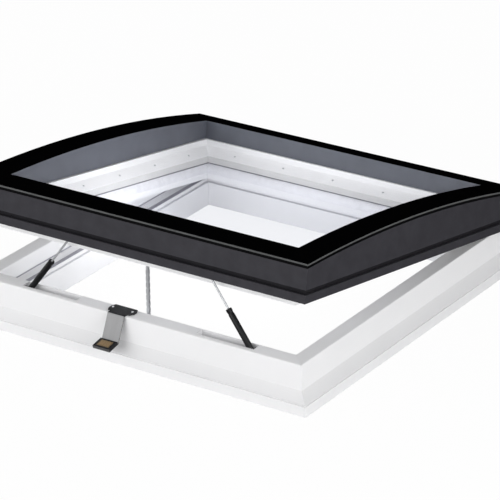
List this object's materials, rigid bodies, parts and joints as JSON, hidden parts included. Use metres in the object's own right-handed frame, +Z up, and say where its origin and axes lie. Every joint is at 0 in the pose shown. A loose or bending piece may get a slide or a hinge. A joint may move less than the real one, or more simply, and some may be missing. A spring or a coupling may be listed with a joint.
{
  "type": "roof skylight",
  "caption": "Square flat-roof skylight: white plastic upstand frame and a dark metal lid with curved glass, lifted at the front by a push chain and gas springs, with a rain sensor.",
  "frame": {"origin": "centre of the frame's bottom plane, which is the centre of the four roof screw holes", "axes": "+Z up, +X to the right along the front, +Y from the front to the hinged rear"},
  "size_m": [1.2, 1.2469, 0.4343],
  "materials": {
    "white_plastic": "smooth moulded white plastic",
    "cladding": "anthracite powder coat",
    "clear_glass": "polished",
    "black_print": "fired black print",
    "black_rubber": "soft black rubber",
    "grey_rubber": "soft grey rubber",
    "zinc_steel": "zinc plated",
    "spring_black": "black enamel",
    "bright_rod": "polished",
    "opener_case": "mill finish",
    "dark_plastic": "fine grained",
    "sensor_metal": "brushed",
    "sensor_gold": "gold plated tracks",
    "spacer_metal": "satin"
  },
  "bodies": {
    "frame": {"frame_front": "white_plastic", "frame_rear": "white_plastic", "frame_left": "white_plastic", "frame_right": "white_plastic", "ledge_seal": "grey_rubber", "lip_gasket": "black_rubber", "hinge_left_frame_leaf": "zinc_steel", "hinge_right_frame_leaf": "zinc_steel", "hinge_pins": "zinc_steel", "hinge_screws": "zinc_steel", "spring_left_foot_bracket": "zinc_steel", "spring_right_foot_bracket": "zinc_steel", "spring_foot_pins": "zinc_steel", "drive_chain": "zinc_steel", "sensor_screws": "zinc_steel", "opener_housing": "opener_case", "opener_end_caps": "dark_plastic", "opener_motor": "dark_plastic", "opener_gearbox": "dark_plastic", "chain_guide": "dark_plastic", "cable_inlet": "dark_plastic", "sensor_clamp_plate": "dark_plastic", "sensor_body": "dark_plastic", "sensor_arm": "sensor_metal", "sensor_pad": "sensor_gold"},
    "lid": {"cladding_front": "cladding", "cladding_rear": "cladding", "cladding_left": "cladding", "cladding_right": "cladding", "cladding_screws": "cladding", "curved_glass": "clear_glass", "border_print": "black_print", "glass_seal": "black_rubber", "sash_front": "white_plastic", "sash_rear": "white_plastic", "sash_left": "white_plastic", "sash_right": "white_plastic", "sash_seal": "black_rubber", "bead_front": "white_plastic", "bead_rear": "white_plastic", "bead_left": "white_plastic", "bead_right": "white_plastic", "bead_screws": "zinc_steel", "glazing_gaskets": "black_rubber", "lower_pane": "clear_glass", "upper_pane": "clear_glass", "edge_spacer": "spacer_metal", "spring_left_top_bracket": "zinc_steel", "spring_right_top_bracket": "zinc_steel", "chain_bracket": "zinc_steel", "hinge_left_sash_leaf": "zinc_steel", "hinge_right_sash_leaf": "zinc_steel"},
    "left_tube": {"spring_left_eye": "spring_black", "spring_left_tube": "spring_black"},
    "left_rod": {"spring_left_rod": "bright_rod"},
    "right_tube": {"spring_right_eye": "spring_black", "spring_right_tube": "spring_black"},
    "right_rod": {"spring_right_rod": "bright_rod"},
    "sprocket": {"drive_sprocket": "zinc_steel"}
  },
  "joints": [
    {"name": "lid_hinge", "type": "hinge", "parent": "frame", "child": "lid", "pos_m": [0, 0.566, 0.141], "axis": [1, 0, 0], "range_deg": [0, 10], "deforming": ["drive_chain"]},
    {"name": "left_spring_swing", "type": "hinge", "parent": "frame", "child": "left_tube", "pos_m": [-0.389, -0.537, 0.115], "axis": [0.0047, 0.9973, -0.0727], "range_deg": [0, 49.06]},
    {"name": "left_rod_slide", "type": "slide", "parent": "left_tube", "child": "left_rod", "axis": [0.6051, 0.055, 0.7943], "range_m": [-0.1001, 0]},
    {"name": "right_spring_swing", "type": "hinge", "parent": "frame", "child": "right_tube", "pos_m": [0.389, -0.537, 0.115], "axis": [0.0047, -0.9973, 0.0727], "range_deg": [0, 49.06]},
    {"name": "right_rod_slide", "type": "slide", "parent": "right_tube", "child": "right_rod", "axis": [-0.6051, 0.055, 0.7943], "range_m": [-0.1001, 0]},
    {"name": "sprocket_turn", "type": "hinge", "parent": "frame", "child": "sprocket", "pos_m": [-0.0182, -0.49, 0.0345], "axis": [0, 1, 0], "range_deg": [0, 581]}
  ],
  "couplings": [
    {"joint": "left_spring_swing", "follows": "lid_hinge", "ratio": 4.9053},
    {"joint": "right_spring_swing", "follows": "lid_hinge", "ratio": 4.9053},
    {"joint": "left_rod_slide", "follows": "lid_hinge", "m_per_rad": -0.57298},
    {"joint": "right_rod_slide", "follows": "lid_hinge", "m_per_rad": -0.57298},
    {"joint": "sprocket_turn", "follows": "lid_hinge", "ratio": 58.036}
  ]
}
